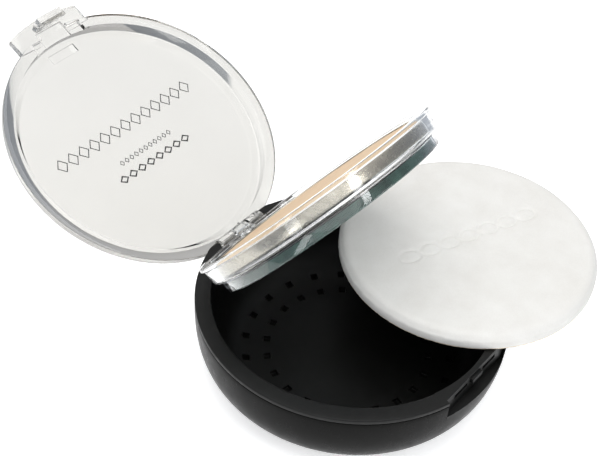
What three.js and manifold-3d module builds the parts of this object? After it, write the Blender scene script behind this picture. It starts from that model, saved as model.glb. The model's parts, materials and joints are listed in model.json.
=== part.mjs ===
// Powder compact: black two-part base, clear tray with a pressed-powder pan above a mirror,
// clear lid on the same hinge pin, and a round velour puff lying on the rim.
// Millimetres, +Z up, origin at the centre of the base's flat foot, hinge at +Y, latch at -Y.
import * as THREE from "three";
import { mergeVertices } from "three/addons/utils/BufferGeometryUtils.js";
import Module from "manifold-3d";

const wasm = await Module();
wasm.setup();

// ---- driving dimensions -------------------------------------------------------------------
const BASE_R = 38.0; // outside of the rim
const BASE_H = 20.6; // rim plane above the table
const FOOT_R = 21.6; // flat foot
const BOWL_POWER = 3.06; // fullness of the bowl's section
const SHELL_WALL = 1.2;
const SHELL_FLOOR = 1.0;
const CAVITY_R = 34.0; // inside of the rim
const CAVITY_FLOOR_R = 20.4;
const LINER_WALL = 1.2;
const LINER_FLOOR = 1.0;
const RIM_FLANGE = 1.2; // depth of the liner's flange on top of the shell
const RIM_CHAMFER = 0.3;

const VENT_COUNT = 22; // per ring, the first one towards the hinge
const VENT_SIZE = 1.8;
const VENT_RING_R = [20.2, 25.5];

const HINGE_Y = 35.6;
const HINGE_Z = BASE_H - 1.4;
const PIN_R = 0.5;
const PIN_HALF = 10.6;
const PIN_BORE_R = 0.56;
const SLOT_HALF = 8.1; // hinge gap in the rim
const EAR_HALF = 12.0; // outside of the two hinge ears
const EAR_ROUND = 1.6;
const EAR_DEPTH = 4.0;
const LID_ROOM = 0.3; // the bowl is cut this much under the ears, so that the wide-open lid clears it
const SLOT_DEPTH = 7.0;

const NOTCH_HALF = 11.9; // finger notch at the front
const NOTCH_BACK_Y = -35.2;
const NOTCH_DEPTH = 6.2;
const SHELF_THICK = 1.0;
const LUG = { half: 2.0, proud: 0.8, low: 2.4, high: 1.0 };
const CATCH_SLOT = { from: 3.2, to: 8.4, low: 2.6, high: 1.4, reach: 1.5 };

const TRAY_OPEN = 52.6; // degrees, from shut
const LID_OPEN = 153.2;
const TURNED_GAP = 0.3; // between neighbours inside a turned group

const TRAY_SHIFT = 1.0; // the tray's centre is this much nearer the hinge than the bowl's
const TRAY_LIP_R = 32.4;
const TRAY_LIP_TOP = BASE_H - 1.35;
const TRAY_LIP_THICK = 1.0;
const TRAY_WALL_R = [31.9, 31.4]; // under the lip, above the bottom corner
const TRAY_BOTTOM = BASE_H - 6.6;
const TRAY_CORNER = 0.9;
const TRAY_FLOOR = 0.9;
const TRAY_KNUCKLE_HALF = 2.3;
const KNUCKLE_R = 2.0;

const PAN_R = 29.0;
const PAN_SHEET = 0.4;
const PAN_HEIGHT = 2.95;
const GLUE_R = 12.0;
const GLUE_THICK = 0.2;
const POWDER_DEPTH = 2.25;
const POWDER_CROWN = 0.2;

const MIRROR_RING_R = 29.8;
const MIRROR_RING_BOTTOM = BASE_H - 9.7;
const MIRROR_RING_WALL = 1.0;
const MIRROR_RING_PLATE = 0.5;
const MIRROR_THICK = 1.9;
const TAPE_THICK = 0.2;

const LID_R = 36.2;
const LID_TOP = BASE_H + 5.4;
const LID_BOTTOM = BASE_H + 0.4;
const LID_INNER_R = 33.2;
const LID_PLATE = 1.2;
const LID_BEVEL = { r: 31.0, low: BASE_H + 2.3 }; // the wide slope round the lid's outer face
const LID_KNUCKLE = { from: 2.9, to: 7.6 };
const TAB_HALF = 11.4;
const TAB_R = 40.8;
const TAB_PLATE = 1.8;
const TAB_TOP = BASE_H + 3.4;
const TAB_CEILING = BASE_H + 1.9; // the underside above the catch, lower than the lid's panel
const CLASP = { half: 4.0, inner: 37.6, outer: 39.2, drop: 4.9, barb: 1.1, barbHigh: 0.9 };
const RELIEF = { half: 4.3, from: 28.9, step: 31.4, to: 37.4, deep: 0.4 };
const TAB_RECESS = { half: 8.1, from: 30, to: 35.0 }; // the skirt is thinner behind the tab

const PUFF_R = 32.2;
const PUFF_AT = [30.8, -12.2];
const PUFF_LIFT = 0.05;
const PUFF_FACE = 0.6;
const PUFF_CORE = 3.0;
const PUFF_EDGE = 0.35;

const ROUND = 64; // facets of the large turned pieces
const FAR = 60; // longer than anything a cutting block has to clear

// ---- materials ----------------------------------------------------------------------------
const look = (color, roughness, metalness = 0, opacity = 1) =>
  new THREE.MeshStandardMaterial({ color, roughness, metalness, opacity, transparent: opacity < 1 });

// ---- solids -------------------------------------------------------------------------------
function solid(geometry) {
  const bare = geometry.clone();
  bare.deleteAttribute("normal");
  bare.deleteAttribute("uv");
  const merged = mergeVertices(bare, 1e-4);
  const index = merged.index.array;
  const faces = [];
  for (let i = 0; i < index.length; i += 3) {
    const [a, b, c] = [index[i], index[i + 1], index[i + 2]];
    if (a !== b && b !== c && c !== a) {
      faces.push(a, b, c);
    }
  }
  return new wasm.Manifold(
    new wasm.Mesh({
      numProp: 3,
      vertProperties: new Float32Array(merged.attributes.position.array),
      triVerts: new Uint32Array(faces),
    }),
  );
}

function geometryOf(made) {
  const mesh = made.getMesh();
  const geometry = new THREE.BufferGeometry();
  geometry.setAttribute("position", new THREE.BufferAttribute(mesh.vertProperties, 3));
  geometry.setIndex(new THREE.BufferAttribute(mesh.triVerts, 1));
  return geometry;
}

// A turned solid about the upright axis at y, from [radius, height] pairs listed anticlockwise.
function turned(profile, facets = ROUND, y = 0) {
  const points = profile.map(([r, z]) => new THREE.Vector2(r, z));
  return solid(new THREE.LatheGeometry(points, facets).rotateX(Math.PI / 2).translate(0, y, 0));
}

function disc(radius, low, high, facets = ROUND) {
  return turned([[0, low], [radius, low], [radius, high], [0, high]], facets);
}

function block(x0, x1, y0, y1, z0, z1) {
  const box = new THREE.BoxGeometry(x1 - x0, y1 - y0, z1 - z0);
  return solid(box.translate((x0 + x1) / 2, (y0 + y1) / 2, (z0 + z1) / 2));
}

// A round bar along the hinge axis.
function hingeBar(radius, x0, x1, facets = 24) {
  const bar = new THREE.CylinderGeometry(radius, radius, x1 - x0, facets);
  bar.rotateZ(Math.PI / 2);
  return solid(bar.translate((x0 + x1) / 2, HINGE_Y, HINGE_Z));
}

// Points down the bowl's section, from the rim to the flat floor.
function bowlCurve(rimR, floorR, depth, steps = 7) {
  return Array.from({ length: steps + 1 }, (_, i) => {
    const turn = (i / steps) * (Math.PI / 2);
    const across = Math.max(Math.cos(turn), 0) ** (2 / BOWL_POWER);
    const down = Math.sin(turn) ** (2 / BOWL_POWER);
    return [floorR + (rimR - floorR) * across, BASE_H - depth * down];
  });
}

// ---- base shell: the black bowl ------------------------------------------------------------
function makeBaseShell() {
  const outside = bowlCurve(BASE_R, FOOT_R, BASE_H).reverse();
  const inside = bowlCurve(BASE_R - SHELL_WALL, FOOT_R, BASE_H - SHELL_FLOOR);
  const bowl = turned([[0, 0], ...outside, ...inside, [0, SHELL_FLOOR]]);
  return bowl
    .subtract(block(-FAR, FAR, -FAR, FAR, BASE_H - RIM_FLANGE, FAR))
    .subtract(block(-EAR_HALF - 0.05, EAR_HALF + 0.05, 25, FAR, BASE_H - EAR_DEPTH - LID_ROOM, FAR))
    .subtract(block(-SLOT_HALF, SLOT_HALF, 25, FAR, BASE_H - SLOT_DEPTH, FAR))
    .subtract(block(-NOTCH_HALF, NOTCH_HALF, -FAR, -25, BASE_H - NOTCH_DEPTH, FAR));
}

// ---- base liner: rim flange, cavity, vents, hinge ears, catch ------------------------------
function ventTools() {
  const tools = [];
  for (const ringR of VENT_RING_R) {
    for (let i = 0; i < VENT_COUNT; i += 1) {
      const punch = new THREE.BoxGeometry(VENT_SIZE, VENT_SIZE, 6);
      punch.translate(ringR, 0, SHELL_FLOOR + 3);
      tools.push(solid(punch.rotateZ(Math.PI / 2 + (i / VENT_COUNT) * 2 * Math.PI)));
    }
  }
  return tools;
}

function makeBaseLiner() {
  const floor = SHELL_FLOOR + LINER_FLOOR;
  const flangeLow = BASE_H - RIM_FLANGE;
  const wallR = CAVITY_R + LINER_WALL;
  const outside = bowlCurve(wallR, FOOT_R, BASE_H - SHELL_FLOOR).reverse();
  const inside = bowlCurve(CAVITY_R, CAVITY_FLOOR_R, BASE_H - floor);
  const cup = turned([[0, SHELL_FLOOR], ...outside, ...inside, [0, floor]]);
  const flange = turned([
    [CAVITY_R + 0.2, flangeLow],
    [BASE_R, flangeLow],
    [BASE_R, BASE_H - RIM_CHAMFER],
    [BASE_R - RIM_CHAMFER, BASE_H],
    [CAVITY_R + 0.2, BASE_H],
    [CAVITY_R + 0.2, flangeLow],
  ]);

  // The finger notch: flat back wall, ledge, catch lug with a slot on each side of it.
  const within = disc(BASE_R - 0.1, 0, BASE_H);
  const ledgeTop = BASE_H - NOTCH_DEPTH + SHELF_THICK;
  const ledgeHalf = NOTCH_HALF - 0.1;
  const ledge = block(-ledgeHalf, ledgeHalf, -FAR, NOTCH_BACK_Y + 0.6, BASE_H - NOTCH_DEPTH, ledgeTop);
  const backWall = block(-NOTCH_HALF, NOTCH_HALF, NOTCH_BACK_Y, -25, BASE_H - NOTCH_DEPTH, BASE_H);
  const lugTip = NOTCH_BACK_Y - LUG.proud;
  const lug = block(-LUG.half, LUG.half, lugTip, NOTCH_BACK_Y + 0.4, BASE_H - LUG.low, BASE_H - LUG.high);
  const cavity = disc(CAVITY_R, floor, FAR);
  const inNotch = backWall.add(ledge).intersect(within).subtract(cavity);

  let liner = cup
    .add(flange)
    .subtract(block(-NOTCH_HALF, NOTCH_HALF, -FAR, NOTCH_BACK_Y, BASE_H - NOTCH_DEPTH, FAR))
    .add(inNotch)
    .add(lug);
  for (const side of [-1, 1]) {
    const ends = [side * CATCH_SLOT.from, side * CATCH_SLOT.to].sort((a, b) => a - b);
    const [low, high] = [BASE_H - CATCH_SLOT.low, BASE_H - CATCH_SLOT.high];
    liner = liner.subtract(block(...ends, -FAR, NOTCH_BACK_Y + CATCH_SLOT.reach, low, high));
  }

  // The hinge: the rim is cut through and two round-backed ears carry the pin.
  liner = liner.subtract(block(-EAR_HALF, EAR_HALF, 25, FAR, BASE_H - EAR_DEPTH, FAR));
  for (const side of [-1, 1]) {
    const ends = [side * SLOT_HALF, side * EAR_HALF].sort((a, b) => a - b);
    const front = block(...ends, 25, HINGE_Y, BASE_H - EAR_DEPTH, BASE_H);
    const ear = front.add(hingeBar(EAR_ROUND, ...ends));
    liner = liner.add(ear.intersect(within).subtract(cavity));
  }
  liner = liner.subtract(hingeBar(PIN_BORE_R, -PIN_HALF - 0.1, PIN_HALF + 0.1));
  return ventTools().reduce((rest, tool) => rest.subtract(tool), liner);
}

// ---- tray ----------------------------------------------------------------------------------
function makeTray() {
  const pocketR = PAN_R + TURNED_GAP;
  const pocketFloor = TRAY_BOTTOM + TRAY_FLOOR;
  const section = [
    [0, TRAY_BOTTOM],
    [TRAY_WALL_R[1] - TRAY_CORNER, TRAY_BOTTOM],
    [TRAY_WALL_R[1] - TRAY_CORNER * 0.3, TRAY_BOTTOM + TRAY_CORNER * 0.3],
    [TRAY_WALL_R[1], TRAY_BOTTOM + TRAY_CORNER],
    [TRAY_WALL_R[0], TRAY_LIP_TOP - TRAY_LIP_THICK],
    [TRAY_LIP_R, TRAY_LIP_TOP - TRAY_LIP_THICK],
    [TRAY_LIP_R, TRAY_LIP_TOP],
    [pocketR, TRAY_LIP_TOP],
    [pocketR, pocketFloor],
    [0, pocketFloor],
  ];
  const web = block(-TRAY_KNUCKLE_HALF, TRAY_KNUCKLE_HALF, 31, HINGE_Y, HINGE_Z - 1.8, TRAY_LIP_TOP);
  return turned(section, ROUND, TRAY_SHIFT)
    .add(web)
    .add(hingeBar(KNUCKLE_R, -TRAY_KNUCKLE_HALF, TRAY_KNUCKLE_HALF))
    .subtract(hingeBar(PIN_BORE_R, -TRAY_KNUCKLE_HALF - 1, TRAY_KNUCKLE_HALF + 1));
}

const PAN_BOTTOM = TRAY_BOTTOM + TRAY_FLOOR + TURNED_GAP;
const POWDER_BOTTOM = PAN_BOTTOM + PAN_SHEET + 0.05;

function makePan() {
  const inner = PAN_R - PAN_SHEET;
  return turned([
    [0, PAN_BOTTOM],
    [PAN_R - 0.5, PAN_BOTTOM],
    [PAN_R, PAN_BOTTOM + 0.5],
    [PAN_R, PAN_BOTTOM + PAN_HEIGHT],
    [inner, PAN_BOTTOM + PAN_HEIGHT],
    [inner, PAN_BOTTOM + PAN_SHEET],
    [0, PAN_BOTTOM + PAN_SHEET],
  ]);
}

function makePowder() {
  const top = POWDER_BOTTOM + POWDER_DEPTH;
  const radius = PAN_R - PAN_SHEET - 0.1;
  return turned([
    [0, POWDER_BOTTOM],
    [radius, POWDER_BOTTOM],
    [radius, top - 0.3],
    [radius - 0.8, top],
    [0, top + POWDER_CROWN],
  ]);
}

function makeGlue() {
  const low = TRAY_BOTTOM + TRAY_FLOOR + 0.05;
  return disc(GLUE_R, low, low + GLUE_THICK, 32);
}

const RING_TOP = TRAY_BOTTOM - 0.05;
const RING_PLATE_LOW = RING_TOP - MIRROR_RING_PLATE;
const TAPE_LOW = RING_PLATE_LOW - 0.05 - TAPE_THICK;
const MIRROR_TOP = TAPE_LOW - 0.05;
const MIRROR_R = MIRROR_RING_R - MIRROR_RING_WALL - TURNED_GAP;

function makeMirrorRing() {
  const inner = MIRROR_RING_R - MIRROR_RING_WALL;
  return turned([
    [0, RING_PLATE_LOW],
    [inner, RING_PLATE_LOW],
    [inner, MIRROR_RING_BOTTOM],
    [MIRROR_RING_R - 0.5, MIRROR_RING_BOTTOM],
    [MIRROR_RING_R, MIRROR_RING_BOTTOM + 0.5],
    [MIRROR_RING_R, RING_TOP],
    [0, RING_TOP],
  ]);
}

// ---- lid -----------------------------------------------------------------------------------
function makeTabPlate() {
  const reach = Math.sqrt(TAB_R ** 2 - TAB_HALF ** 2);
  const turn = Math.asin(TAB_HALF / TAB_R);
  const outline = new THREE.Shape();
  outline.moveTo(TAB_HALF, -34);
  outline.lineTo(-TAB_HALF, -34);
  outline.lineTo(-TAB_HALF, -reach);
  outline.absarc(0, 0, TAB_R, -Math.PI / 2 - turn, -Math.PI / 2 + turn, false);
  const sheet = { depth: TAB_PLATE, bevelEnabled: false, curveSegments: 16 };
  const plate = new THREE.ExtrudeGeometry(outline, sheet);
  return solid(plate.translate(0, 0, TAB_TOP - TAB_PLATE));
}

function makeClasp() {
  const low = TAB_TOP - TAB_PLATE - CLASP.drop;
  const bar = block(-CLASP.half, CLASP.half, -CLASP.outer, -CLASP.inner, low, TAB_TOP - 0.5);
  const barbTip = -CLASP.inner + CLASP.barb;
  const barb = block(-CLASP.half, CLASP.half, -CLASP.inner - 0.2, barbTip, low, low + CLASP.barbHigh);
  return bar.add(barb);
}

function makeLid() {
  const ceiling = LID_TOP - LID_PLATE;
  const cover = turned([
    [0, ceiling],
    [LID_INNER_R, ceiling],
    [LID_INNER_R, LID_BOTTOM],
    [LID_R, LID_BOTTOM],
    [LID_R, LID_BEVEL.low],
    [LID_BEVEL.r, LID_TOP],
    [0, LID_TOP],
  ]);
  const relief = block(
    -RELIEF.half, RELIEF.half, -RELIEF.step, -RELIEF.from, LID_BOTTOM - 1, ceiling + RELIEF.deep,
  );
  const tabRelief = block(
    -RELIEF.half, RELIEF.half, -RELIEF.to, -RELIEF.step + 0.1, LID_BOTTOM - 1, TAB_CEILING + RELIEF.deep,
  );
  const recess = block(
    -TAB_RECESS.half, TAB_RECESS.half, -TAB_RECESS.to, -TAB_RECESS.from, LID_BOTTOM - 1, TAB_CEILING,
  );
  const trayKnuckleRoom = block(-2.8, 2.8, 32, FAR, 0, BASE_H + 1.1);
  let lid = cover
    .add(makeTabPlate())
    .subtract(relief)
    .subtract(tabRelief)
    .subtract(recess)
    .add(makeClasp())
    .subtract(trayKnuckleRoom);
  for (const side of [-1, 1]) {
    const ends = [side * LID_KNUCKLE.from, side * LID_KNUCKLE.to].sort((a, b) => a - b);
    const web = block(...ends, HINGE_Y - 1.6, HINGE_Y + 0.55, HINGE_Z, LID_BEVEL.low);
    lid = lid.add(web).add(hingeBar(KNUCKLE_R, ...ends));
  }
  return lid.subtract(hingeBar(PIN_BORE_R, -10, 10));
}

// ---- puff ----------------------------------------------------------------------------------
function puffDisc(low, high, soften) {
  const made = turned([
    [0, low],
    [PUFF_R - soften[0], low],
    [PUFF_R, low + soften[0]],
    [PUFF_R, high - soften[1]],
    [PUFF_R - soften[1], high],
    [0, high],
  ].filter(([r, z], i, all) => i === 0 || r !== all[i - 1][0] || z !== all[i - 1][1]));
  const geometry = geometryOf(made);
  return geometry.translate(PUFF_AT[0], PUFF_AT[1], 0);
}

// ---- assembly ------------------------------------------------------------------------------
function piece(name, shape, material) {
  const mesh = new THREE.Mesh(shape.isBufferGeometry ? shape : geometryOf(shape), material);
  mesh.name = name;
  return mesh;
}

// Pieces drawn shut are carried in a group that is turned open about the hinge pin.
function hinged(openDegrees, pieces) {
  const arm = new THREE.Group();
  arm.position.set(0, HINGE_Y, HINGE_Z);
  arm.rotation.x = -THREE.MathUtils.degToRad(openDegrees);
  const drawnShut = new THREE.Group();
  drawnShut.position.set(0, -HINGE_Y, -HINGE_Z);
  drawnShut.add(...pieces);
  arm.add(drawnShut);
  return arm;
}

const black = 0x141414;
const compact = new THREE.Group();

compact.add(
  piece("base_shell", makeBaseShell(), look(black, 0.25)),
  piece("base_liner", makeBaseLiner(), look(0x181818, 0.5)),
  piece("hinge_pin", hingeBar(PIN_R, -PIN_HALF, PIN_HALF), look(0xc8c8c8, 0.3, 1)),
);

const inTray = new THREE.Group();
inTray.position.y = TRAY_SHIFT;
inTray.add(
  piece("powder_pan", makePan(), look(0xcfc9c0, 0.3, 1)),
  piece("pan_glue", makeGlue(), look(0xe8e4d8, 0.6)),
  piece("pressed_powder", makePowder(), look(0xe3c19d, 0.95)),
  piece("mirror_ring", makeMirrorRing(), look(0xf2f6f6, 0.08, 0, 0.35)),
  piece("mirror_tape", disc(20, TAPE_LOW, TAPE_LOW + TAPE_THICK, 32), look(0xf0f0ec, 0.7)),
  piece("mirror_glass", disc(MIRROR_R, MIRROR_TOP - MIRROR_THICK, MIRROR_TOP), look(0x9fb5ac, 0.03, 1)),
);
const tray = piece("powder_tray", makeTray(), look(0xf2f6f6, 0.08, 0, 0.35));
compact.add(hinged(TRAY_OPEN, [tray, inTray]));

compact.add(hinged(LID_OPEN, [piece("lid", makeLid(), look(0xf2f6f6, 0.05, 0, 0.35))]));

const puffLow = BASE_H + PUFF_LIFT;
const puffCoreLow = puffLow + PUFF_FACE + 0.02;
const puffFaceLow = puffCoreLow + PUFF_CORE + 0.02;
const puffWhite = look(0xecebe8, 0.95);
compact.add(
  piece("puff_bottom_face", puffDisc(puffLow, puffLow + PUFF_FACE, [PUFF_EDGE, 0]), puffWhite),
  piece("puff_foam", puffDisc(puffCoreLow, puffCoreLow + PUFF_CORE, [0, 0]), look(0xe8e2d6, 0.9)),
  piece("puff_top_face", puffDisc(puffFaceLow, puffFaceLow + PUFF_FACE, [0, PUFF_EDGE]), puffWhite.clone()),
);

export default compact;
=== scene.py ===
"""Powder compact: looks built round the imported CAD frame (Blender 4.5, metres, +Z up, hinge at +Y)."""
import json
import math

import bmesh
import bpy
from mathutils import Matrix, Vector, noise


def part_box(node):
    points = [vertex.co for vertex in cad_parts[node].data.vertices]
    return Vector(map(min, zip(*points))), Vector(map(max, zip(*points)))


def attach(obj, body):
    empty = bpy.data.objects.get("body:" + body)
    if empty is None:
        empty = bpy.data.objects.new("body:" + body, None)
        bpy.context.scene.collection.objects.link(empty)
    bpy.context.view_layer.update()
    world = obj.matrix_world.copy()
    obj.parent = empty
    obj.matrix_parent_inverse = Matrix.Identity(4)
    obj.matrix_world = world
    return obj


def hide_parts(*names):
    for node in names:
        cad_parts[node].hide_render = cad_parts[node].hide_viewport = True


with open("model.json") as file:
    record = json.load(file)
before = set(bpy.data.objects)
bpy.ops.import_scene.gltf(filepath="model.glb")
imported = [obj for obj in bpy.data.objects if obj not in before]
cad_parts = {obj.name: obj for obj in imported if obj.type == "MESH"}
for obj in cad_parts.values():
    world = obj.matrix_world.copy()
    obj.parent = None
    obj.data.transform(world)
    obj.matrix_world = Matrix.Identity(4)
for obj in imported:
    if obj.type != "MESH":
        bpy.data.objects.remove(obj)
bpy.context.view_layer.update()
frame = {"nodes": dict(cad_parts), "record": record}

MM = 0.001
ROUND = 192  # facets of the turned pieces
BAR_ROUND = 64  # facets of the bars on the hinge axis

# ---- places and sizes read from the CAD (millimetres) ---------------------------------------
JOINTS = {j["name"]: j for j in frame["record"]["behaviour"]["joints"]}
HINGE = Vector(JOINTS["tray_hinge"]["pos_m"])
HINGE_Y, HINGE_Z = HINGE.y / MM, HINGE.z / MM
TRAY_OPEN = -math.radians(JOINTS["tray_hinge"]["range_deg"][0])
LID_OPEN = TRAY_OPEN - math.radians(JOINTS["lid_hinge"]["range_deg"][0])


def across(node):
    """Half the width of a CAD node along the hinge axis, which turning about the hinge leaves alone."""
    low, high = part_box(node)
    return (high[0] - low[0]) / 2 / MM


def height(node, top):
    """The height of a CAD node's top, or of its bottom if top is False."""
    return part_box(node)[1 if top else 0][2] / MM


RIM_Z = height("base_liner", True)
BASE_R = across("base_liner")
TRAY_LIP_R = across("powder_tray")
RING_R = across("mirror_ring")
PAN_R = across("powder_pan")
MIRROR_R = across("mirror_glass")
POWDER_R = across("pressed_powder")

PUFF_R = across("puff_foam")
PUFF_LOW = height("puff_bottom_face", False)
PUFF_HIGH = height("puff_top_face", True)
PUFF_MIN, PUFF_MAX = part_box("puff_foam")
PUFF_X = (PUFF_MIN[0] + PUFF_MAX[0]) / 2 / MM
PUFF_Y = (PUFF_MIN[1] + PUFF_MAX[1]) / 2 / MM

# ---- section sizes (millimetres) -------------------------------------------------------------
FAR = 60.0  # beyond every side of the shut compact, which is how the pieces are drawn
INSIDE = 25.0  # tools that cut through the rim start here, well within the cavity
STACK_GAP = 0.05  # left between pieces that lie on each other

FOOT_R = 21.6
BOWL_POWER = 3.06  # the bowl's wall is a superellipse of this power
BOWL_STEPS = 36
SHELL_WALL = 1.2
SHELL_FLOOR = 1.0
CAVITY_R = 34.0
CAVITY_FLOOR_R = 20.4
LINER_WALL = 1.2
CAVITY_FLOOR = 2.0
CAVITY_CUT = 1.0  # the tools that keep the cavity clear start at this height
RIM_FLANGE = 1.2
PARTING_GAP = 0.1
CROWN_ROOM = 0.25  # a bowl's curve stops this far below the corner above it

VENT_COUNT = 22
VENT_SIZE = 1.8
VENT_RING_R = (20.2, 25.5)
VENT_TOP = 6.0

SLOT_HALF = 8.1  # the opening between the hinge ears
EAR_HALF = 12.0
EAR_ROUND = 1.6
EAR_DEPTH = 4.0
SLOT_DEPTH = 7.0
PIN_BORE_R = 0.56
PIN_BORE_HALF = 10.7
LID_ROOM = 0.3  # the bowl is cut this much under the ears, so that the wide-open lid clears it

NOTCH_HALF = 11.9
NOTCH_BACK_Y = -35.2
NOTCH_DEPTH = 6.2
LEDGE_THICK = 1.0
LEDGE_IN = 0.6  # how far the ledge runs into the back wall
LUG_HALF = 2.0
LUG_Y = (NOTCH_BACK_Y - 0.8, NOTCH_BACK_Y + 0.4)
LUG_Z = (RIM_Z - 2.4, RIM_Z - 1.0)
NOTCH_SLOT_X = (3.2, 8.4)
NOTCH_SLOT_Z = (RIM_Z - 2.6, RIM_Z - 1.4)
NOTCH_SLOT_DEPTH = 1.5

TRAY_SHIFT = 1.0  # the tray sits this much nearer the hinge than the bowl's centre
TRAY_TOP = RIM_Z - 1.35
TRAY_BOTTOM = RIM_Z - 6.6
TRAY_FLOOR = 0.9
TRAY_FOOT_R = 31.4
TRAY_WALL_R = 31.9
TRAY_LIP = 1.0
KNUCKLE_R = 2.0
TRAY_KNUCKLE_HALF = 2.3
TRAY_WEB_Y = (31.0, HINGE_Y + 0.1)
TRAY_WEB_Z = (HINGE_Z - 1.75, TRAY_TOP - 0.03)
WEB_INSET = 0.05  # a knuckle's web is this much narrower at each end, so that their faces stay apart

PAN_GAP = 0.3  # round the pan and under it, where the glue spot is
PAN_BOTTOM = TRAY_BOTTOM + TRAY_FLOOR + PAN_GAP
PAN_HEIGHT = 2.95
PAN_SHEET = 0.4
POWDER_BOTTOM = PAN_BOTTOM + PAN_SHEET + STACK_GAP
POWDER_TOP = POWDER_BOTTOM + 2.25
POWDER_RINGS = 60
POWDER_CROWN = 0.18
WORN_EDGE = (0.35, 0.45)  # depth and width
PRESSED_RING = (0.10, 0.5)  # depth and width
PRESSED_RING_AT = 0.86  # as a share of the powder's radius
GRAIN = (900, 0.02)  # noise per metre, height

RING_TOP = TRAY_BOTTOM - STACK_GAP
RING_BOTTOM = RIM_Z - 9.7
RING_WALL = 1.0
RING_PLATE = 0.5
TAPE_THICK = 0.2
MIRROR_TOP = RING_TOP - RING_PLATE - TAPE_THICK - 2 * STACK_GAP
MIRROR_THICK = 1.9

LID_R = 36.2
LID_TOP = RIM_Z + 5.4
LID_CEILING = RIM_Z + 4.2
LID_BEVEL_R = 31.0
LID_BEVEL_LOW = RIM_Z + 2.3
LID_BOTTOM = RIM_Z + 0.4
LID_INNER_R = 33.2
LID_DRAFT = 0.1
TAB_HALF = 11.4
TAB_R = 40.8
TAB_ROOT_Y = -34.0
TAB_PLATE = 1.8
TAB_TOP = RIM_Z + 3.4
TAB_CEILING = RIM_Z + 1.9
TAB_ARC_STEPS = 24

RELIEF_HALF = 4.3  # the square relief behind the tab: one step in the panel, one in the tab
RELIEF_Y = (-31.4, -28.9)
TAB_RELIEF_Y = (-37.4, -31.3)
RELIEF_DEPTH = 0.4
RECESS_HALF = 8.1
RECESS_Y = (-35.0, -30.0)
UNDER_LID = LID_BOTTOM - 2.0  # where tools that cut the lid from below start

CLASP_HALF = 4.0
CLASP_Y = (-39.2, -37.6)
CLASP_LOW = TAB_TOP - TAB_PLATE - 4.9
BARB_Y = (-37.8, -36.5)
BARB_THICK = 0.9

HINGE_GAP_HALF = 2.8  # the gap in the lid's skirt for the tray's knuckle
HINGE_GAP_Y = 32.0
HINGE_GAP_TOP = RIM_Z + 1.1
LID_KNUCKLE_X = (2.9, 7.6)
LID_WEB_Y = (HINGE_Y - 1.6, HINGE_Y + 0.35)
LID_WEB_Z = (HINGE_Z + 0.2, LID_BEVEL_LOW - 0.2)


# ---- mesh helpers ----------------------------------------------------------------------------
def add_object(name, mesh):
    obj = bpy.data.objects.new(name, mesh)
    bpy.context.scene.collection.objects.link(obj)
    return obj


def from_bmesh(name, bm):
    """A new object with the shape that was drawn in bm."""
    mesh = bpy.data.meshes.new(name)
    bm.to_mesh(mesh)
    bm.free()
    return add_object(name, mesh)


def soften(bm, edges, bevel):
    """Rounds the given edges by bevel millimetres."""
    bmesh.ops.bevel(bm, geom=edges, offset=bevel * MM, segments=3, profile=0.5, affect="EDGES")


def level_edges(bm):
    """The edges round the two flat ends of a bar or a plate that is drawn upright."""
    return [e for e in bm.edges if abs(e.verts[0].co.z - e.verts[1].co.z) < 1e-9]


def shade(obj, angle=32):
    """Smooth shading with creases kept at real corners."""
    for polygon in obj.data.polygons:
        polygon.use_smooth = True
    obj.data.set_sharp_from_angle(angle=math.radians(angle))


def fillet(before, corner, after, radius, steps):
    """Points of an arc that rounds one corner of a section."""
    corner = Vector(corner)
    back, ahead = Vector(before) - corner, Vector(after) - corner
    reach = 0.49 * min(back.length, ahead.length)  # less than half, so that neighbouring arcs don't meet
    back.normalize()
    ahead.normalize()
    half = back.angle(ahead) / 2
    cut = min(radius / math.tan(half), reach)
    radius = cut * math.tan(half)
    centre = corner + (back + ahead).normalized() * (radius / math.sin(half))
    start, end = corner + back * cut - centre, corner + ahead * cut - centre
    sweep = start.angle_signed(end)
    points = []
    for i in range(steps + 1):
        turn = Matrix.Rotation(-sweep * i / steps, 2)
        points.append(tuple(centre + turn @ start))
    return points


def section(*corners, steps=4):
    """A section from (radius, height[, rounding]) corners; a corner without a rounding stays sharp."""
    points = []
    for i, corner in enumerate(corners):
        if len(corner) > 2:
            before, after = corners[i - 1], corners[i + 1]
            points += fillet(before[:2], corner[:2], after[:2], corner[2], steps)
        else:
            points.append(tuple(corner[:2]))
    return points


def turned(name, profile, facets=ROUND):
    """A solid of revolution; the profile runs anticlockwise in (radius, height), millimetres."""
    bm = bmesh.new()
    rings = []
    for r, z in profile:
        if r < 1e-6:
            rings.append([bm.verts.new((0, 0, z * MM))])
            continue
        ring = []
        for i in range(facets):
            turn = 2 * math.pi * i / facets
            ring.append(bm.verts.new((r * MM * math.cos(turn), r * MM * math.sin(turn), z * MM)))
        rings.append(ring)
    for low, high in zip(rings, rings[1:]):
        for i in range(facets):
            k = (i + 1) % facets
            if len(low) == 1:
                bm.faces.new((low[0], high[k], high[i]))
            elif len(high) == 1:
                bm.faces.new((low[i], low[k], high[0]))
            else:
                bm.faces.new((low[i], low[k], high[k], high[i]))
    return from_bmesh(name, bm)


def block(x0, x1, y0, y1, z0, z1, bevel=0.0, spin=0.0):
    """A box between millimetre limits, with softened edges and a turn about Z if asked."""
    bm = bmesh.new()
    bmesh.ops.create_cube(bm, size=1)
    for v in bm.verts:
        v.co.x = (x0 + (v.co.x + 0.5) * (x1 - x0)) * MM
        v.co.y = (y0 + (v.co.y + 0.5) * (y1 - y0)) * MM
        v.co.z = (z0 + (v.co.z + 0.5) * (z1 - z0)) * MM
    if bevel:
        soften(bm, list(bm.edges), bevel)
    if spin:
        bmesh.ops.rotate(bm, verts=bm.verts, cent=(0, 0, 0), matrix=Matrix.Rotation(spin, 3, "Z"))
    return from_bmesh("block", bm)


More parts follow.
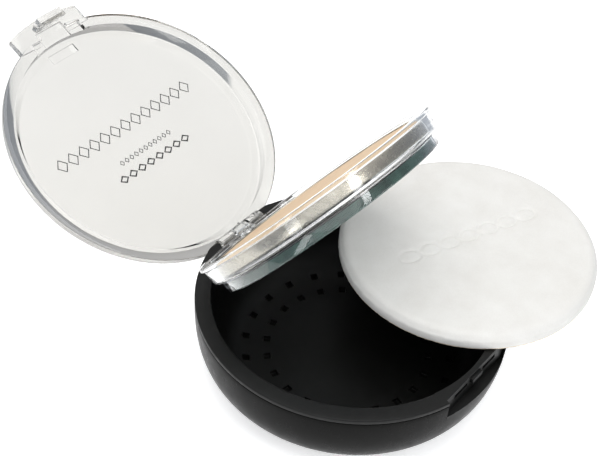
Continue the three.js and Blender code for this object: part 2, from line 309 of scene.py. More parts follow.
def hinge_bar(radius, x0, x1, bevel=0.0):
    """A round bar on the hinge axis, from x0 to x1."""
    bm = bmesh.new()
    bmesh.ops.create_cone(
        bm, cap_ends=True, segments=BAR_ROUND, radius1=radius * MM, radius2=radius * MM, depth=(x1 - x0) * MM
    )
    if bevel:
        soften(bm, level_edges(bm), bevel)
    bmesh.ops.rotate(bm, verts=bm.verts, cent=(0, 0, 0), matrix=Matrix.Rotation(math.pi / 2, 3, "Y"))
    bmesh.ops.translate(bm, verts=bm.verts, vec=((x0 + x1) / 2 * MM, HINGE.y, HINGE.z))
    return from_bmesh("bar", bm)


def plate(outline, z0, z1, bevel=0.0):
    """A flat plate from an anticlockwise outline in millimetres."""
    bm = bmesh.new()
    low = [bm.verts.new((x * MM, y * MM, z0 * MM)) for x, y in outline]
    high = [bm.verts.new((x * MM, y * MM, z1 * MM)) for x, y in outline]
    bm.faces.new(list(reversed(low)))
    bm.faces.new(high)
    count = len(outline)
    for i in range(count):
        k = (i + 1) % count
        bm.faces.new((low[i], low[k], high[k], high[i]))
    if bevel:
        soften(bm, level_edges(bm), bevel)
    return from_bmesh("plate", bm)


def bake(obj):
    """Gives the object the mesh that its modifiers make, and clears them."""
    graph = bpy.context.evaluated_depsgraph_get()
    mesh = bpy.data.meshes.new_from_object(obj.evaluated_get(graph))
    obj.modifiers.clear()
    obj.data = mesh


def carve(obj, operation, tools):
    """Joins, cuts or intersects obj with each tool in turn, and removes the tools."""
    for tool in tools:
        modifier = obj.modifiers.new("carve", "BOOLEAN")
        modifier.operation = operation
        modifier.solver = "EXACT"
        modifier.object = tool
        bake(obj)
        bpy.data.objects.remove(tool)
    return obj


def merged(tools):
    """Several separate tools as one object, so that one boolean handles them all."""
    bm = bmesh.new()
    for tool in tools:
        bm.from_mesh(tool.data)
        bpy.data.objects.remove(tool)
    return from_bmesh("tools", bm)


def core(radius, low, high):
    """A plain round tool on the bowl's axis."""
    return turned("core", [(0, low), (radius, low), (radius, high), (0, high)])


def knuckle(web, x0, x1):
    """A hinge knuckle with its web, bored for the pin."""
    carve(web, "UNION", [hinge_bar(KNUCKLE_R, x0, x1, 0.2)])
    return carve(web, "DIFFERENCE", [hinge_bar(PIN_BORE_R, x0 - 1, x1 + 1)])


def is_side(polygon):
    """Whether a face of a flat disc belongs to its edge."""
    return abs(polygon.normal.z) < 0.9


def shifted(obj):
    """Moves a turned piece of the tray to the tray's own centre."""
    obj.data.transform(Matrix.Translation((0, TRAY_SHIFT * MM, 0)))
    return obj


def opened(obj, angle):
    """Turns a piece that was drawn shut to its open place about the hinge pin."""
    turn = Matrix.Translation(HINGE) @ Matrix.Rotation(-angle, 4, "X") @ Matrix.Translation(-HINGE)
    obj.data.transform(turn)
    return obj


# ---- materials -------------------------------------------------------------------------------
def fill_ramp(node, stops):
    """Sets a colour ramp's (position, (r, g, b)) stops."""
    elements = node.color_ramp.elements
    while len(elements) < len(stops):
        elements.new(0.5)
    for element, (position, colour) in zip(elements, stops):
        element.position = position
        element.color = (*colour, 1)


class Material:
    """A node material with a Principled shader and short ways to add texture nodes."""

    def __init__(self, name, **settings):
        self.material = bpy.data.materials.new(name)
        self.material.use_nodes = True
        self.nodes = self.material.node_tree.nodes
        self.links = self.material.node_tree.links
        self.shader = self.nodes["Principled BSDF"]
        for key, value in settings.items():
            self.shader.inputs[key.replace("_", " ")].default_value = value
        self.place = self.nodes.new("ShaderNodeTexCoord").outputs["Object"]

    def scaled(self, scale):
        """The place on the object, stretched along each axis."""
        mapping = self.nodes.new("ShaderNodeMapping")
        mapping.inputs["Scale"].default_value = scale
        self.links.new(self.place, mapping.inputs["Vector"])
        return mapping.outputs["Vector"]

    def noise(self, size_mm, detail=3.0, rough=0.55, stretch=(1, 1, 1)):
        """Noise whose features are about size_mm across."""
        node = self.nodes.new("ShaderNodeTexNoise")
        node.inputs["Scale"].default_value = 1.0 / (size_mm * MM)
        node.inputs["Detail"].default_value = detail
        node.inputs["Roughness"].default_value = rough
        self.links.new(self.scaled(stretch), node.inputs["Vector"])
        return node.outputs["Fac"]

    def ramp(self, value, *stops):
        """Colours along a value: (position, (r, g, b)) stops."""
        node = self.nodes.new("ShaderNodeValToRGB")
        fill_ramp(node, stops)
        self.links.new(value, node.inputs["Fac"])
        return node.outputs["Color"]

    def span(self, value, low, high, source=(0.3, 0.7)):
        """Maps the source range of a value, by default noise's middle part, to low..high."""
        node = self.nodes.new("ShaderNodeMapRange")
        node.inputs["From Min"].default_value = source[0]
        node.inputs["From Max"].default_value = source[1]
        node.inputs["To Min"].default_value = low
        node.inputs["To Max"].default_value = high
        self.links.new(value, node.inputs["Value"])
        return node.outputs["Result"]

    def add(self, a, b):
        node = self.nodes.new("ShaderNodeMath")
        node.operation = "ADD"
        self.links.new(a, node.inputs[0])
        self.links.new(b, node.inputs[1])
        return node.outputs["Value"]

    def set(self, key, output):
        """Feeds an output into the shader's input of that name."""
        self.links.new(output, self.shader.inputs[key])
        return self

    def bump(self, value, depth_mm, strength=1.0):
        """Shades the surface as if the value raised it by up to depth_mm."""
        node = self.nodes.new("ShaderNodeBump")
        node.inputs["Strength"].default_value = strength
        node.inputs["Distance"].default_value = depth_mm * MM
        self.links.new(value, node.inputs["Height"])
        self.links.new(node.outputs["Normal"], self.shader.inputs["Normal"])
        return self


SUM_RANGE = (0.75, 1.25)  # the middle part of two noises added together


def shell_material():
    m = Material("shell_gloss_black", IOR=1.5, Specular_IOR_Level=0.06)
    m.set("Base Color", m.ramp(m.noise(9), (0.3, (0.0022, 0.0022, 0.002)), (0.7, (0.0034, 0.0034, 0.003))))
    m.set("Roughness", m.span(m.noise(3, detail=5), 0.24, 0.36))
    m.bump(m.noise(0.5, detail=2), 0.004, 0.6)
    return m.material


def liner_material():
    m = Material("liner_matte_black", IOR=1.48, Specular_IOR_Level=0.25)
    m.set("Base Color", m.ramp(m.noise(6), (0.3, (0.0018, 0.0019, 0.0016)), (0.7, (0.003, 0.0031, 0.0027))))
    m.set("Roughness", m.span(m.noise(2, detail=5), 0.38, 0.52))
    m.bump(m.noise(0.25, detail=3), 0.008, 0.7)
    return m.material


def clear_material(name, tint_and_painted_shade, rough):
    m = Material(name, IOR=1.5, Transmission_Weight=1.0)
    # The plastic's own tint; for the lid it is also painted shade.
    m.set("Base Color", m.ramp(m.noise(12), (0.3, tint_and_painted_shade), (0.7, tuple(min(1, c * 1.01) for c in tint_and_painted_shade))))
    m.set("Roughness", m.span(m.noise(4, detail=4), rough * 0.5, rough * 1.5))
    m.bump(m.noise(14, detail=1), 0.02, 0.5)
    return m.material


def pan_material():
    m = Material("pan_metal", Metallic=1.0)
    streaks = m.noise(0.5, detail=3, rough=0.5, stretch=(0.08, 0.08, 1.0))
    m.set("Base Color", m.ramp(streaks, (0.3, (0.40, 0.365, 0.31)), (0.7, (0.50, 0.46, 0.395))))
    m.set("Roughness", m.span(m.noise(2.5, detail=4), 0.22, 0.30))
    m.bump(streaks, 0.002, 0.3)
    return m.material


def powder_material():
    m = Material("powder_cake", Sheen_Weight=0.15)
    grain = m.add(m.noise(0.25, detail=4), m.noise(4, detail=3))
    tone = m.span(grain, 0, 1, SUM_RANGE)
    m.set("Base Color", m.ramp(tone, (0.1, (0.72, 0.50, 0.295)), (0.9, (0.78, 0.565, 0.35))))
    m.set("Roughness", m.span(m.noise(1), 0.85, 1.0))
    m.bump(m.noise(0.18, detail=4), 0.02, 0.8)
    return m.material


def mirror_material():
    m = Material("mirror", Metallic=1.0)
    m.set("Base Color", m.ramp(m.noise(20), (0.3, (0.86, 0.90, 0.88)), (0.7, (0.90, 0.93, 0.92))))
    m.set("Roughness", m.span(m.noise(5, detail=5), 0.008, 0.03))
    return m.material


def mirror_edge_material():
    m = Material("mirror_edge", IOR=1.52, Specular_IOR_Level=0.3)
    bands = m.noise(3, detail=3, rough=0.6, stretch=(1, 1, 0.3))
    m.set("Base Color", m.ramp(bands, (0.35, (0.006, 0.018, 0.014)), (0.65, (0.026, 0.06, 0.048))))
    m.set("Roughness", m.span(m.noise(0.8), 0.08, 0.25))
    m.bump(m.noise(0.6, detail=3, rough=0.6, stretch=(1, 1, 0.2)), 0.015, 0.3)
    return m.material


def velour_material():
    m = Material("puff_velour", Sheen_Weight=0.15, Sheen_Roughness=0.45)
    pile = m.noise(0.22, detail=5, rough=0.7)
    nap = m.noise(7, detail=3)
    tone = m.span(m.add(pile, nap), 0, 1, SUM_RANGE)
    m.set("Base Color", m.ramp(tone, (0.0, (0.68, 0.665, 0.63)), (1.0, (0.74, 0.73, 0.70))))
    m.set("Roughness", m.span(nap, 0.9, 1.0))
    m.bump(pile, 0.05, 0.7)
    return m.material


def foam_material():
    m = Material("puff_foam")
    cells = m.noise(0.3, detail=4, rough=0.7)
    m.set("Base Color", m.ramp(cells, (0.3, (0.68, 0.57, 0.42)), (0.7, (0.86, 0.79, 0.67))))
    m.set("Roughness", m.span(cells, 0.85, 1.0))
    m.bump(cells, 0.08, 0.9)
    return m.material


def plain_material(name, low, high, size_mm, rough, metallic=0.0):
    m = Material(name, Metallic=metallic)
    m.set("Base Color", m.ramp(m.noise(size_mm), (0.3, low), (0.7, high)))
    m.set("Roughness", m.span(m.noise(size_mm * 0.5), rough[0], rough[1]))
    m.bump(m.noise(size_mm * 0.3), 0.01, 0.4)
    return m.material


SHELL = shell_material()
LINER = liner_material()
# The lid's grey tint is partly the plastic's own colour and partly painted shade: it darkens what is seen
# through the lid in place of the shadow that the lid is kept from throwing.
CLEAR_LID_PAINTED_SHADE = clear_material("clear_plastic_lid_painted_shade", (0.58, 0.573, 0.55), 0.012)
CLEAR_TRAY = clear_material("clear_plastic_tray", (0.95, 0.965, 0.965), 0.03)
PAN = pan_material()
POWDER = powder_material()
MIRROR = mirror_material()
MIRROR_EDGE = mirror_edge_material()
VELOUR = velour_material()
FOAM = foam_material()
INK = plain_material("print_ink", (0.006, 0.006, 0.006), (0.014, 0.014, 0.014), 1.0, (0.35, 0.5))
STEEL = plain_material("pin_steel", (0.50, 0.50, 0.50), (0.62, 0.62, 0.62), 0.6, (0.18, 0.3), 1.0)
TAPE = plain_material("tape", (0.75, 0.75, 0.72), (0.85, 0.85, 0.83), 0.8, (0.7, 0.9))
GLUE = plain_material("glue", (0.66, 0.60, 0.48), (0.76, 0.71, 0.60), 2.0, (0.3, 0.5))


def finish_piece(obj, name, body, slot, stands_for, *materials, angle=32):
    """Names a piece, adds its materials and hands it to the frame."""
    obj.name = name
    obj.data.name = name
    for material in materials:
        obj.data.materials.append(material)
    shade(obj, angle)
    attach(obj, body)
    if stands_for:
        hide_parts(*stands_for)
    return obj


# ---- base ------------------------------------------------------------------------------------
def bowl(rim_r, floor_r, depth, top):
    """A bowl's section, from just under top down to its flat floor."""
    points = []
    for i in range(BOWL_STEPS + 1):
        turn = i / BOWL_STEPS * math.pi / 2
        r = floor_r + (rim_r - floor_r) * max(math.cos(turn), 0) ** (2 / BOWL_POWER)
        z = RIM_Z - depth * math.sin(turn) ** (2 / BOWL_POWER)
        if z < top - CROWN_ROOM or i == BOWL_STEPS:
            points.append((r, z))
    return points


def make_shell():
    top = RIM_Z - RIM_FLANGE - PARTING_GAP
    outside = bowl(BASE_R, FOOT_R, RIM_Z, top)
    inside = bowl(BASE_R - SHELL_WALL, FOOT_R, RIM_Z - SHELL_FLOOR, top)
    outer, inner = BASE_R - 0.05, BASE_R - SHELL_WALL - 0.03
    crown = section(outside[0], (outer, top, 0.25), (inner, top, 0.1), inside[0])
    profile = [(0, 0)] + outside[::-1] + crown[1:-1] + inside + [(0, SHELL_FLOOR)]
    shell = turned("base_bowl", profile)
    ear_room = EAR_HALF + 0.05
    cuts = [
        block(-ear_room, ear_room, INSIDE, FAR, RIM_Z - EAR_DEPTH - LID_ROOM, FAR),
        block(-SLOT_HALF, SLOT_HALF, INSIDE, FAR, RIM_Z - SLOT_DEPTH, FAR, 0.3),
        block(-NOTCH_HALF, NOTCH_HALF, -FAR, -INSIDE, RIM_Z - NOTCH_DEPTH, FAR, 0.3),
    ]
    carve(shell, "DIFFERENCE", cuts)
    return finish_piece(shell, "base_bowl", "base", "shell_gloss_black", ["base_shell"], SHELL)


def vent_tools():
    """Square posts that cut both rings of vent holes through the floor."""
    tools = []
    half = VENT_SIZE / 2
    for ring_r in VENT_RING_R:
        for i in range(VENT_COUNT):
            spin = math.pi / 2 + 2 * math.pi * i / VENT_COUNT
            near, far = ring_r - half, ring_r + half
            tools.append(block(near, far, -half, half, SHELL_FLOOR, VENT_TOP, 0.12, spin))
    return merged(tools)


def make_ear(side):
    """A hinge ear on one side, rounded about the pin."""
    x0, x1 = sorted((side * SLOT_HALF, side * EAR_HALF))
    ear = block(x0, x1, INSIDE, HINGE_Y, RIM_Z - EAR_DEPTH, RIM_Z, 0.12)
    carve(ear, "UNION", [hinge_bar(EAR_ROUND, x0, x1, 0.12)])
    carve(ear, "INTERSECT", [core(BASE_R - 0.05, 0, RIM_Z)])
    return carve(ear, "DIFFERENCE", [core(CAVITY_R, CAVITY_CUT, FAR)])


def make_notch():
    """The notch's back wall, ledge and catch lug, kept clear of the cavity and inside the rim's round."""
    low = RIM_Z - NOTCH_DEPTH
    ledge_half = NOTCH_HALF - 0.1
    ledge = block(-ledge_half, ledge_half, -FAR, NOTCH_BACK_Y + LEDGE_IN, low, low + LEDGE_THICK, 0.12)
    back = block(-NOTCH_HALF, NOTCH_HALF, NOTCH_BACK_Y, -INSIDE, low, RIM_Z - 0.02, 0.1)
    for tool in (ledge, back):
        carve(tool, "INTERSECT", [core(BASE_R - 0.1, 0, RIM_Z)])
        carve(tool, "DIFFERENCE", [core(CAVITY_R, CAVITY_CUT, FAR)])
    return [back, ledge, block(-LUG_HALF, LUG_HALF, *LUG_Y, *LUG_Z, 0.15)]


def make_liner():
    flange_low = RIM_Z - RIM_FLANGE
    wall_r = CAVITY_R + LINER_WALL
    outside = bowl(wall_r, FOOT_R, RIM_Z - SHELL_FLOOR, flange_low)
    inside = bowl(CAVITY_R, CAVITY_FLOOR_R, RIM_Z - CAVITY_FLOOR, RIM_Z - 0.6)
    rim = section(
        outside[0],
        (wall_r, flange_low),
        (BASE_R, flange_low, 0.2),
        (BASE_R, RIM_Z, 0.32),
        (CAVITY_R, RIM_Z, 0.35),
        inside[0],
    )
    profile = [(0, SHELL_FLOOR)] + outside[::-1] + rim[1:-1] + inside + [(0, CAVITY_FLOOR)]
    liner = turned("base_well", profile)

    cuts = [
        vent_tools(),
        block(-NOTCH_HALF, NOTCH_HALF, -FAR, NOTCH_BACK_Y, RIM_Z - NOTCH_DEPTH, FAR, 0.25),
        block(-EAR_HALF, EAR_HALF, INSIDE, FAR, RIM_Z - EAR_DEPTH, FAR),
    ]
    carve(liner, "DIFFERENCE", cuts)
    carve(liner, "UNION", [*make_notch(), make_ear(-1), make_ear(1)])
    slots = []
    for side in (-1, 1):
        x0, x1 = sorted(side * x for x in NOTCH_SLOT_X)
        slots.append(block(x0, x1, -FAR, NOTCH_BACK_Y + NOTCH_SLOT_DEPTH, *NOTCH_SLOT_Z, 0.1))
    carve(liner, "DIFFERENCE", [merged(slots), hinge_bar(PIN_BORE_R, -PIN_BORE_HALF, PIN_BORE_HALF)])
    return finish_piece(liner, "base_well", "base", "liner_matte_black", ["base_liner"], LINER)


# ---- tray ------------------------------------------------------------------------------------
def make_tray():
    pocket_r = PAN_R + PAN_GAP
    pocket_floor = TRAY_BOTTOM + TRAY_FLOOR
    tray = turned(
        "tray_dish",
        section(
            (0, TRAY_BOTTOM),
            (TRAY_FOOT_R, TRAY_BOTTOM, 0.9),
            (TRAY_WALL_R, TRAY_TOP - TRAY_LIP, 0.2),
            (TRAY_LIP_R, TRAY_TOP - TRAY_LIP, 0.2),
            (TRAY_LIP_R, TRAY_TOP, 0.3),
            (pocket_r, TRAY_TOP, 0.3),
            (pocket_r, pocket_floor, 0.15),
            (0, pocket_floor),
            steps=5,
        ),
    )
    shifted(tray)
    web_half = TRAY_KNUCKLE_HALF - WEB_INSET
    web = block(-web_half, web_half, *TRAY_WEB_Y, *TRAY_WEB_Z, 0.13)
    carve(tray, "UNION", [knuckle(web, -TRAY_KNUCKLE_HALF, TRAY_KNUCKLE_HALF)])
    opened(tray, TRAY_OPEN)
    return finish_piece(tray, "tray_dish", "tray", "clear_plastic", ["powder_tray"], CLEAR_TRAY)


def make_pan():
    top = PAN_BOTTOM + PAN_HEIGHT
    inner = PAN_R - PAN_SHEET
    pan = turned(
        "pan",
        section(
            (0, PAN_BOTTOM),
            (PAN_R, PAN_BOTTOM, 0.6),
            (PAN_R, top, 0.18),
            (inner, top, 0.18),
            (inner, PAN_BOTTOM + PAN_SHEET, 0.3),
            (0, PAN_BOTTOM + PAN_SHEET),
        ),
    )
    opened(shifted(pan), TRAY_OPEN)
    return finish_piece(pan, "pan", "tray", "pan_metal", ["powder_pan"], PAN)


def dent(away, depth, width):
    """How deep a soft dent is, at a distance from its middle."""
    return depth * math.exp(-((away / width) ** 2))


def make_powder():
    """The pressed cake: slightly crowned, with a soft pressed ring and a broken-in edge."""
    profile = [(0, POWDER_BOTTOM), (POWDER_R, POWDER_BOTTOM)]
    for i in range(POWDER_RINGS + 1):
        r = POWDER_R * (1 - i / POWDER_RINGS)
        crown = POWDER_CROWN * (1 - (r / POWDER_R) ** 2)
        worn = dent(r - POWDER_R, *WORN_EDGE)
        pressed = dent(r - POWDER_R * PRESSED_RING_AT, *PRESSED_RING)
        profile.append((r, POWDER_TOP + crown - worn - pressed))
    powder = turned("powder_cake", profile)
    for v in powder.data.vertices:
        if v.co.z > (POWDER_TOP - 0.5) * MM:
            v.co.z += noise.noise(v.co * GRAIN[0]) * GRAIN[1] * MM
    opened(shifted(powder), TRAY_OPEN)
    return finish_piece(powder, "powder_cake", "tray", "powder_cake", ["pressed_powder"], POWDER)


def make_mirror_ring():
    plate_low = RING_TOP - RING_PLATE
    inner = RING_R - RING_WALL
    ring = turned(
        "mirror_holder",
        section(
            (0, plate_low),
            (inner, plate_low, 0.1),
            (inner, RING_BOTTOM, 0.2),
            (RING_R, RING_BOTTOM, 0.55),
            (RING_R, RING_TOP, 0.15),
            (0, RING_TOP),
            steps=5,
        ),
    )
    opened(shifted(ring), TRAY_OPEN)
    return finish_piece(ring, "mirror_holder", "tray", "clear_plastic", ["mirror_ring"], CLEAR_TRAY)


def make_mirror():
    """The mirror's disc: silvered faces and a greenish glass edge."""
    low = MIRROR_TOP - MIRROR_THICK
    mirror = turned(
        "mirror_disc",
        section((0, low), (MIRROR_R, low, 0.12), (MIRROR_R, MIRROR_TOP, 0.12), (0, MIRROR_TOP), steps=3),
    )
    mirror.data.materials.append(MIRROR)
    mirror.data.materials.append(MIRROR_EDGE)
    for polygon in mirror.data.polygons:
        polygon.material_index = 1 if is_side(polygon) else 0
    opened(shifted(mirror), TRAY_OPEN)
    return finish_piece(mirror, "mirror_disc", "tray", "mirror", ["mirror_glass"])


# ---- lid -------------------------------------------------------------------------------------
def make_tab():
    """The latch tab's plate, with a front edge that is round about the lid's centre."""
    reach = math.sqrt(TAB_R**2 - TAB_HALF**2)
    turn = math.asin(TAB_HALF / TAB_R)
    outline = [(TAB_HALF, TAB_ROOT_Y), (-TAB_HALF, TAB_ROOT_Y), (-TAB_HALF, -reach)]
    for i in range(1, TAB_ARC_STEPS):
        a = -math.pi / 2 - turn + 2 * turn * i / TAB_ARC_STEPS
        outline.append((TAB_R * math.cos(a), TAB_R * math.sin(a)))
    outline.append((TAB_HALF, -reach))
    return plate(outline, TAB_TOP - TAB_PLATE, TAB_TOP, 0.45)


def make_clasp():
    """The finger under the tab, with the barb that passes the catch lug."""
    clasp = block(-CLASP_HALF, CLASP_HALF, *CLASP_Y, CLASP_LOW, TAB_TOP - 0.5, 0.3)
    barb = block(-CLASP_HALF, CLASP_HALF, *BARB_Y, CLASP_LOW, CLASP_LOW + BARB_THICK, 0.25)
    return carve(clasp, "UNION", [barb])


def make_lid_knuckle(side):
    x0, x1 = sorted(side * x for x in LID_KNUCKLE_X)
    web = block(x0 + WEB_INSET, x1 - WEB_INSET, *LID_WEB_Y, *LID_WEB_Z, 0.13)
    return knuckle(web, x0, x1)


def make_lid():
    lid = turned(
        "lid_cover",
        section(
            (0, LID_CEILING),
            (LID_INNER_R, LID_CEILING, 0.4),
            (LID_INNER_R - LID_DRAFT, LID_BOTTOM, 0.25),
            (LID_R, LID_BOTTOM, 0.25),
            (LID_R, LID_BEVEL_LOW, 0.3),
            (LID_BEVEL_R, LID_TOP, 1.2),
            (0, LID_TOP),
            steps=5,
        ),
    )
    carve(lid, "UNION", [make_tab()])
    cuts = [
        block(-RELIEF_HALF, RELIEF_HALF, *RELIEF_Y, UNDER_LID, LID_CEILING + RELIEF_DEPTH, 0.12),
        block(-RELIEF_HALF, RELIEF_HALF, *TAB_RELIEF_Y, UNDER_LID, TAB_CEILING + RELIEF_DEPTH, 0.12),
        block(-RECESS_HALF, RECESS_HALF, *RECESS_Y, UNDER_LID, TAB_CEILING, 0.2),
    ]
    carve(lid, "DIFFERENCE", cuts)
    carve(lid, "UNION", [make_clasp()])
    hinge_gap = block(-HINGE_GAP_HALF, HINGE_GAP_HALF, HINGE_GAP_Y, FAR, 0, HINGE_GAP_TOP, 0.15)
    carve(lid, "DIFFERENCE", [hinge_gap])
    for side in (-1, 1):
        carve(lid, "UNION", [make_lid_knuckle(side)])
    opened(lid, LID_OPEN)
    return finish_piece(lid, "lid_cover", "lid", "clear_plastic", ["lid"], CLEAR_LID_PAINTED_SHADE)


def diamond(x, y, half_x, half_y):
    """The corners of a diamond, anticlockwise."""
    return [(x + half_x, y), (x, y + half_y), (x - half_x, y), (x, y - half_y)]


def open_diamond(x, y, half_x, half_y, stroke):
    """The four strokes of an outlined diamond, mitred at its corners."""
    inset = 1.4 * stroke
    outer = diamond(x, y, half_x, half_y)
    inner = diamond(x, y, half_x - inset, half_y - inset)
    return [[outer[i], outer[(i + 1) % 4], inner[(i + 1) % 4], inner[i]] for i in range(4)]


# Rows of diamonds, each centred on the lid: how many, spacing, y, half width, half height, stroke.
ORNAMENT_ROWS = (
    (13, 3.7, -5.5, 1.7, 2.0, 0.24),
    (11, 1.7, 2.4, 0.7, 0.8, 0.18),
    (8, 3.2, 6.2, 1.5, 1.2, 0.36),
)
PRINT_Z = (LID_TOP + 0.005, LID_TOP + 0.03)


def make_print():
    """A plain ornament of outlined diamonds, printed on the lid."""
    strokes = []
    for count, spacing, y, half_x, half_y, stroke in ORNAMENT_ROWS:
        for i in range(count):
            x = spacing * (i - (count - 1) / 2)
            strokes += open_diamond(x, y, half_x, half_y, stroke)
    motif = merged([plate(stroke, *PRINT_Z) for stroke in strokes])
    opened(motif, LID_OPEN)
    return finish_piece(motif, "lid_ornament", "lid", "clear_plastic", [], INK)


# ---- puff ------------------------------------------------------------------------------------
PUFF_ROLL = 2.6  # rounding of the top shoulder
PUFF_FACETS = 360
PUFF_TOP_RINGS = 76
SHOULDER_STEPS = 10
CUT_EDGE = 0.9  # height of the side where the foam shows
PUFF_SOFT = (0.11, 0.09)  # noise per millimetre and height of the slow swell
PUFF_PILE = (2.3, 0.03)  # the same for the velour's pile
PUFF_RAGGED = (1.7, 0.12)  # the same for the edge, sideways
PUFF_INSET = 0.10  # how far the face and the edge lie inside the CAD's
PUFF_FALL = 0.12  # how far the face falls off towards its edge
FACE_FROM = 0.6  # share of the thickness above which the face is shaped
EDGE_FROM = 0.97  # share of the radius beyond which the edge is ragged

MOTIF_TURN = math.radians(-22)
MOTIF_AT = (2.0, 1.4)
MOTIF_COUNT = 7
MOTIF_PITCH = 5.8
MOTIF_DEPTH = 0.34
LENS_HALF = (2.7, 1.9)
LENS_STROKE = 0.42 / 2.2  # half width of the pressed line, as a share of the lens


def motif_depth(x, y):
    """Depth in mm of the pressed chain of lens shapes on the puff, at a point from its centre."""
    dx, dy = x - MOTIF_AT[0], y - MOTIF_AT[1]
    along = dx * math.cos(MOTIF_TURN) + dy * math.sin(MOTIF_TURN)
    beside = -dx * math.sin(MOTIF_TURN) + dy * math.cos(MOTIF_TURN)
    pressed = 0.0
    for i in range(MOTIF_COUNT):
        from_lens = along - (i - (MOTIF_COUNT - 1) / 2) * MOTIF_PITCH
        away = math.hypot(from_lens / LENS_HALF[0], beside / LENS_HALF[1]) - 1.0
        pressed = max(pressed, dent(away, MOTIF_DEPTH, LENS_STROKE))
    return pressed


def make_puff():
    """Velour puff: soft rolled shoulder, pressed motif, flat cut underside."""
    thick = PUFF_HIGH - PUFF_LOW
    flat_r = PUFF_R - PUFF_ROLL
    profile = [(0, 0.0), (PUFF_R - 0.5, 0.0), (PUFF_R - 0.1, 0.12), (PUFF_R, 0.5)]
    for k in range(SHOULDER_STEPS + 1):
        turn = math.pi / 2 * k / SHOULDER_STEPS
        profile.append((flat_r + PUFF_ROLL * math.cos(turn), thick - PUFF_ROLL + PUFF_ROLL * math.sin(turn)))
    for k in range(1, PUFF_TOP_RINGS + 1):
        profile.append((flat_r * (1 - k / PUFF_TOP_RINGS), thick))
    puff = turned("puff_velour", profile, facets=PUFF_FACETS)
    for v in puff.data.vertices:
        x, y, z = v.co.x / MM, v.co.y / MM, v.co.z / MM
        r = math.hypot(x, y)
        if z > thick * FACE_FROM:
            soft = noise.noise(Vector((x, y, 3.1)) * PUFF_SOFT[0]) * PUFF_SOFT[1]
            pile = noise.noise(Vector((x, y, z)) * PUFF_PILE[0]) * PUFF_PILE[1]
            sag = PUFF_INSET + PUFF_FALL * (r / PUFF_R) ** 4
            z += soft + pile - sag - motif_depth(x, y)
        if r > PUFF_R * EDGE_FROM:
            out = noise.noise(Vector((x, y, z)) * PUFF_RAGGED[0]) * PUFF_RAGGED[1] - PUFF_INSET
            ragged = 1 + out / PUFF_R
            x, y = x * ragged, y * ragged
        z = min(z, thick)  # inside the CAD's box
        v.co = ((x + PUFF_X) * MM, (y + PUFF_Y) * MM, (z + PUFF_LOW) * MM)
    puff.data.materials.append(VELOUR)
    puff.data.materials.append(FOAM)
    cut_top = (PUFF_LOW + CUT_EDGE) * MM
    for polygon in puff.data.polygons:
        polygon.material_index = 1 if polygon.center.z < cut_top and is_side(polygon) else 0
    layers = ["puff_top_face", "puff_foam", "puff_bottom_face"]
    finish_piece(puff, "puff_velour", "puff", "puff_velour", layers, angle=80)


make_shell()
make_liner()
make_tray()
make_pan()
make_powder()
make_mirror_ring()
make_mirror()
make_lid()
make_print()
make_puff()

# Clear plastic throws hardly any shadow; the lid's shade is painted into its grey tint instead.
for name in ("lid_cover", "tray_dish", "mirror_holder"):
    bpy.data.objects[name].visible_shadow = False

# These nodes keep their CAD meshes, with materials of this script.
for node, material in (("hinge_pin", STEEL), ("mirror_tape", TAPE), ("pan_glue", GLUE)):
    kept = frame["nodes"][node]
    kept.data.materials.clear()
    kept.data.materials.append(material)


# ---- floor, light, camera --------------------------------------------------------------------
FLOOR_HALF = 1.5  # metres
PAINTED_POOL_FADE = (0.188, 0.206)  # metres from the middle where the painted pool of light on the floor fades to a painted dim room
PAINTED_POOL_LONG = (1, 0.45, 1)  # the painted pool of light is longer towards the back and the front
# Strength of the floor's glow: painted light, brightest in the pool and dim beyond it
FLOOR_PAINTED_GLOW = 0.5


def make_floor():
    mesh = bpy.data.meshes.new("floor")
    half = FLOOR_HALF
    corners = [(-half, -half, 0), (half, -half, 0), (half, half, 0), (-half, half, 0)]
    mesh.from_pydata(corners, [], [(0, 1, 2, 3)])
    floor = add_object("floor", mesh)
    m = Material("floor_paper_painted_glow")
    distance = m.nodes.new("ShaderNodeVectorMath")
    distance.operation = "LENGTH"
    m.links.new(m.scaled(PAINTED_POOL_LONG), distance.inputs[0])
    # Painted light: the floor's colour and glow fall from a white glowing pool in the middle to a painted
    # dim room beyond.
    away = m.add(m.span(distance.outputs["Value"], 0, 1, PAINTED_POOL_FADE), m.span(m.noise(60), 0, 0.02))
    m.set("Base Color", m.ramp(away, (0.0, (0.90, 0.90, 0.90)), (1.0, (0.30, 0.32, 0.35))))
    m.set("Emission Color", m.ramp(away, (0.0, (1.0, 1.0, 1.0)), (1.0, (0.22, 0.24, 0.27))))
    m.shader.inputs["Emission Strength"].default_value = FLOOR_PAINTED_GLOW
    m.set("Roughness", m.span(m.noise(20), 0.85, 0.95))
    mesh.materials.append(m.material)


def area_light(name, place, target, size, power):
    """A rectangular lamp at a place in metres that shines at a target."""
    light = bpy.data.lights.new(name, "AREA")
    light.shape = "RECTANGLE"
    light.size, light.size_y = size
    light.energy = power
    lamp = bpy.data.objects.new(name, light)
    lamp.location = place
    lamp.rotation_mode = "QUATERNION"
    lamp.rotation_quaternion = (Vector(target) - Vector(place)).to_track_quat("-Z", "Y")
    bpy.context.scene.collection.objects.link(lamp)


# The room's colours by height: position in the ramp and colour, from the horizon to overhead.
WORLD_STOPS = (
    (0.0, (0.46, 0.50, 0.57)),
    (0.3, (0.36, 0.39, 0.44)),
    (0.7, (0.34, 0.35, 0.37)),
    (1.0, (0.9, 0.9, 0.9)),
)
SWEEP_RANGE = (0.05, 0.45)  # where the pale sweep starts and is whole, in the direction's Y
SWEEP_COLOUR = (0.8, 0.8, 0.81, 1)


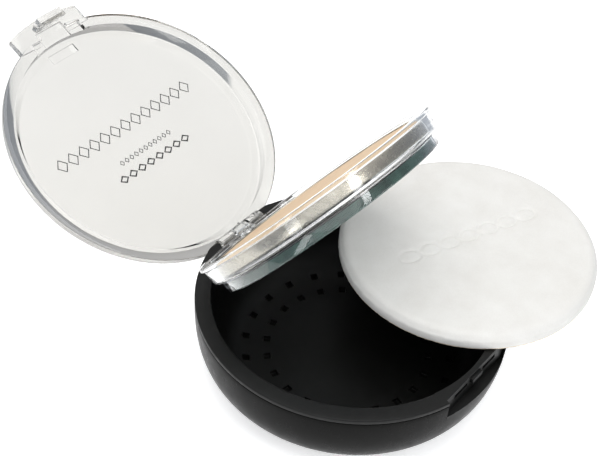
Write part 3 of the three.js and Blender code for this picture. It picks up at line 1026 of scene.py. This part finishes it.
def make_world():
    """A dim studio round the lit table: bluish at the horizon, lighter overhead, a pale sweep behind."""
    world = bpy.data.worlds.new("studio")
    world.use_nodes = True
    nodes, links = world.node_tree.nodes, world.node_tree.links
    background = nodes["Background"]
    place = nodes.new("ShaderNodeTexCoord")
    split = nodes.new("ShaderNodeSeparateXYZ")
    ramp = nodes.new("ShaderNodeValToRGB")
    fill_ramp(ramp, WORLD_STOPS)
    links.new(place.outputs["Generated"], split.inputs["Vector"])
    links.new(split.outputs["Z"], ramp.inputs["Fac"])
    sweep = nodes.new("ShaderNodeMapRange")
    sweep.inputs["From Min"].default_value = SWEEP_RANGE[0]
    sweep.inputs["From Max"].default_value = SWEEP_RANGE[1]
    mix = nodes.new("ShaderNodeMixRGB")
    mix.inputs["Color2"].default_value = SWEEP_COLOUR
    links.new(split.outputs["Y"], sweep.inputs["Value"])
    links.new(sweep.outputs["Result"], mix.inputs["Fac"])
    links.new(ramp.outputs["Color"], mix.inputs["Color1"])
    links.new(mix.outputs["Color"], background.inputs["Color"])
    background.inputs["Strength"].default_value = 1.0
    bpy.context.scene.world = world


# The camera looks at the middle of the rim; its distance, offset and lens are in millimetres.
CAMERA_AZIMUTH = math.radians(-54.2)
CAMERA_ELEVATION = math.radians(43.0)
CAMERA_ROLL = math.radians(4.36)
CAMERA_DISTANCE = 317.2
CAMERA_OFFSET = (-12.81, 16.34)
CAMERA_LENS = 79.41


def make_camera():
    back = Vector(
        (
            math.sin(CAMERA_AZIMUTH) * math.cos(CAMERA_ELEVATION),
            -math.cos(CAMERA_AZIMUTH) * math.cos(CAMERA_ELEVATION),
            math.sin(CAMERA_ELEVATION),
        )
    )
    level = (-back).cross(Vector((0, 0, 1))).normalized()
    rise = level.cross(-back)
    right = level * math.cos(CAMERA_ROLL) + rise * math.sin(CAMERA_ROLL)
    up = rise * math.cos(CAMERA_ROLL) - level * math.sin(CAMERA_ROLL)
    place = Vector((0, 0, RIM_Z)) + back * CAMERA_DISTANCE + right * CAMERA_OFFSET[0] + up * CAMERA_OFFSET[1]
    camera = bpy.data.objects.new("camera", bpy.data.cameras.new("camera"))
    camera.data.lens = CAMERA_LENS
    camera.data.sensor_width = 36
    camera.data.clip_start = 0.01
    camera.matrix_world = Matrix.Translation(place * MM) @ Matrix((right, up, back)).transposed().to_4x4()
    bpy.context.scene.collection.objects.link(camera)
    bpy.context.scene.camera = camera


make_floor()
make_world()
area_light("overhead", (0.0, 0.05, 0.6), (0, 0, 0), (0.5, 0.5), 1.6)
area_light("key", (-0.055, -0.325, 0.365), (0, 0, 0.02), (0.065, 0.30), 0.4)
area_light("front", (-0.40, -0.28, 0.50), (0, 0, 0.02), (0.7, 0.5), 1.1)
area_light("side", (-0.46, -0.127, 0.115), (0, 0, 0.03), (0.07, 0.2), 0.22)
make_camera()
bpy.context.scene.view_settings.view_transform = "Standard"

# Light that is caught inside the clear lid reflects many times before it leaves again.
bpy.context.scene.cycles.max_bounces = 32
bpy.context.scene.cycles.glossy_bounces = 24
bpy.context.scene.cycles.transmission_bounces = 32

bpy.context.view_layer.update()
